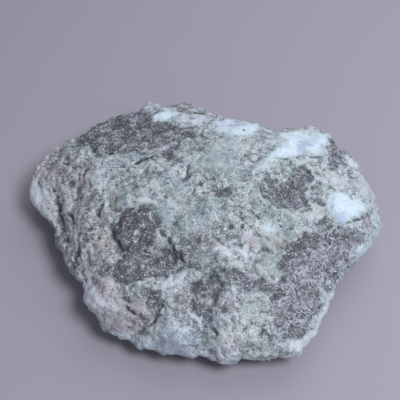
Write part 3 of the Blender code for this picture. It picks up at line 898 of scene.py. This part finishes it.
# Each mineral is a ground colour with layers over it; a layer is a weight and the colour it brings. A
# mineral named above can be the ground or the colour. The last one is the whole stone.
MINERALS = {
    "even crust": ("#929DA9", (("mottled", "#B4C0CD"), ("broad", "#A8B4BF"), ("green tinge", "#93A6A8"),
                               ("lilac tinge", "#A29FAE"), ("cream tinge", "#B9B8B5"),
                               ("teal in", "#8FA4AF"), ("moss in", "#6F8586"), ("mint in", "#A5B3B4"),
                               ("lilac in", "#8B8996"), ("haze in", "#BDBECB"), ("blue in", "#A8B6CB"),
                               ("beige in", "#A6A59D"), ("brown in", "#7B6F76"), ("pink in", "#B5ADB9"),
                               ("pale in", "#C1CAD3"), ("white halo", "#BACBD4"),
                               ("mauve in", "#AEA0B0"), ("sage in", "#93AEA8"))),
    "crust": ("even crust", (("dull grain", "#7C858E"), ("bright grain", "#C9D3DB"), ("coal in", "#55605F"),
                             ("streaks", "#C8D0D8"), ("dull streaks", "#6C737C"),
                             ("pale veinlets", "#C4CED6"), ("pale border", "#C6CFD7"),
                             ("creases", "#565D66"), ("pits", "#5E656F"), ("dark flecks", "#4A505A"),
                             ("flecks", "#E2EAF0"), ("dark cracks", "#4E555D"), ("calm in", "even crust"),
                             ("calm drift", "even crust"), ("milk in", "#CAD3E1"))),
    "basalt": ("#5B6175", (("purple tinge", "#676075"), ("ashy in", "#80838F"), ("dust", "#959AA6"),
                           ("brown in", "#6A5F67"), ("lilac in", "#76758C"), ("pale clouds", "#9197A8"),
                           ("dark clouds", "#484A56"), ("blotches", "#474954"), ("moss in", "#50635F"),
                           ("dark crystal", "#3A3B46"), ("pale crystal", "#98A0B0"), ("web", "#B0B8C8"),
                           ("hooks", "#31323D"), ("haze in", "#A4A4B1"), ("pits", "#363741"),
                           ("dark speck", "#2F303A"), ("curls", "#C0C7D5"), ("pale veins", "#B2B9C7"),
                           ("coal in", "#403E4B"), ("milk in", "#CAD3E1"), ("spark", "#CAD0DB"))),
    "chalk": ("#BCD2DF", (("white heart", "#D6E5F4"), ("chalky", "#CBDCEE"), ("blue in", "#A6B2D4"),
                          ("bright grain", "#EAF3FC"), ("mauve in", "#D9CCE0"), ("lilac in", "#C3CAE3"))),
    # Painted shade: the last two layers of the stone darken its hollows and dips.
    "stone": ("crust", (("basalt in", "basalt"), ("white in", "chalk"), ("dark in", "#34363F"),
                        ("hollow shade", "#474A54"), ("shade", "#4E525C"))),
}
for mineral, (ground, layers) in MINERALS.items():
    colour = masks.get(ground) or linear(ground)
    for weight, code in layers:
        colour = node(tree, "ShaderNodeMix", {"data_type": "RGBA"}, {
            0: masks[weight], 6: colour, 7: masks.get(code) or linear(code)}).outputs[2]
    masks[mineral] = colour
tree.links.new(masks["stone"], surface.inputs["Base Color"])
surface.inputs["Roughness"].default_value = 0.62
surface.inputs["Metallic"].default_value = 0.0
surface.inputs["IOR"].default_value = 1.6  # pectolite's
# Grit too fine for the mesh, which keeps the broken faces dull.
GRIT_HEIGHT = 0.65
grit = node(tree, "ShaderNodeMath", {"operation": "MULTIPLY_ADD"}, {
    0: masks["speck"], 1: 0.5, 2: masks["sugar"]})
bump = node(tree, "ShaderNodeBump", {}, {
    "Strength": 0.9, "Distance": GRIT_HEIGHT * MM, "Height": grit.outputs[0]})
tree.links.new(bump.outputs[0], surface.inputs["Normal"])
fine_mesh.materials.clear()
fine_mesh.materials.append(rock)
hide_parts("larimar_stone")
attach(larimar, "root")

# ---------------------------------------------------------------------------------------------------------
# The table top: one sheet of thick card laid flat, matt and pale mauve-grey with nothing printed on it. It
# reaches far past the stone, so that it fills the camera's view and takes the stone's shadow.

FLOOR_HALF = 1.5
bm = bmesh.new()
bmesh.ops.create_grid(bm, x_segments=1, y_segments=1, size=FLOOR_HALF)
floor_mesh = bpy.data.meshes.new("table_top")
bm.to_mesh(floor_mesh)
bm.free()
table_top = bpy.data.objects.new("table_top", floor_mesh)
bpy.context.scene.collection.objects.link(table_top)
# Uncoated card: even and without shine, so the eye stays on the stone.
card = bpy.data.materials.new("matt pale grey card")
card.use_nodes = True
card_surface = card.node_tree.nodes["Principled BSDF"]
card_surface.inputs["Base Color"].default_value = linear("#9A97A5")
card_surface.inputs["Roughness"].default_value = 0.9
floor_mesh.materials.append(card)

# ---------------------------------------------------------------------------------------------------------
# Light and camera: a lamp high at the front right gives the shadows, a wider soft one stands behind, a weak
# one low at the front fills the near edge, and the surround is even and pale. The camera looks steeply down
# on the stone from the front.

# Each lamp is a disc: its name, place, width in metres and power in watts.
LAMPS = (("front lamp", (0.205, -0.143, 0.433), 0.2, 1.8),
         ("back lamp", (0.2, 0.38, 0.45), 0.6, 1.5),
         ("low lamp", (-0.2, -0.5, 0.12), 0.4, 0.45))
for name, spot, across, power in LAMPS:
    lamp_data = bpy.data.lights.new(name, "AREA")
    lamp_data.shape = "DISK"
    lamp_data.size = across
    lamp_data.energy = power
    lamp = bpy.data.objects.new(name, lamp_data)
    lamp.location = spot
    lamp.rotation_euler = lamp.location.to_track_quat("Z", "Y").to_euler()
    bpy.context.scene.collection.objects.link(lamp)
surround = bpy.data.worlds.new("pale surround")
surround.use_nodes = True
surround.node_tree.nodes["Background"].inputs["Color"].default_value = (0.92, 0.95, 1.0, 1.0)
surround.node_tree.nodes["Background"].inputs["Strength"].default_value = 0.23
bpy.context.scene.world = surround
# The minerals' colours are shown as they are, with no film curve over them.
bpy.context.scene.view_settings.view_transform = "Standard"

CAMERA_RISE = math.radians(54)
CAMERA_AWAY = 0.272
AIM = Vector((-0.0010, 0.0056, 0.015))
camera_data = bpy.data.cameras.new("camera")
camera_data.lens = 72
camera_data.sensor_width = 36
camera_data.clip_start = 0.01
camera = bpy.data.objects.new("camera", camera_data)
camera.location = AIM + CAMERA_AWAY * Vector((0, -math.cos(CAMERA_RISE), math.sin(CAMERA_RISE)))
camera.rotation_euler = (math.pi / 2 - CAMERA_RISE, 0, 0)
bpy.context.scene.collection.objects.link(camera)
bpy.context.scene.camera = camera
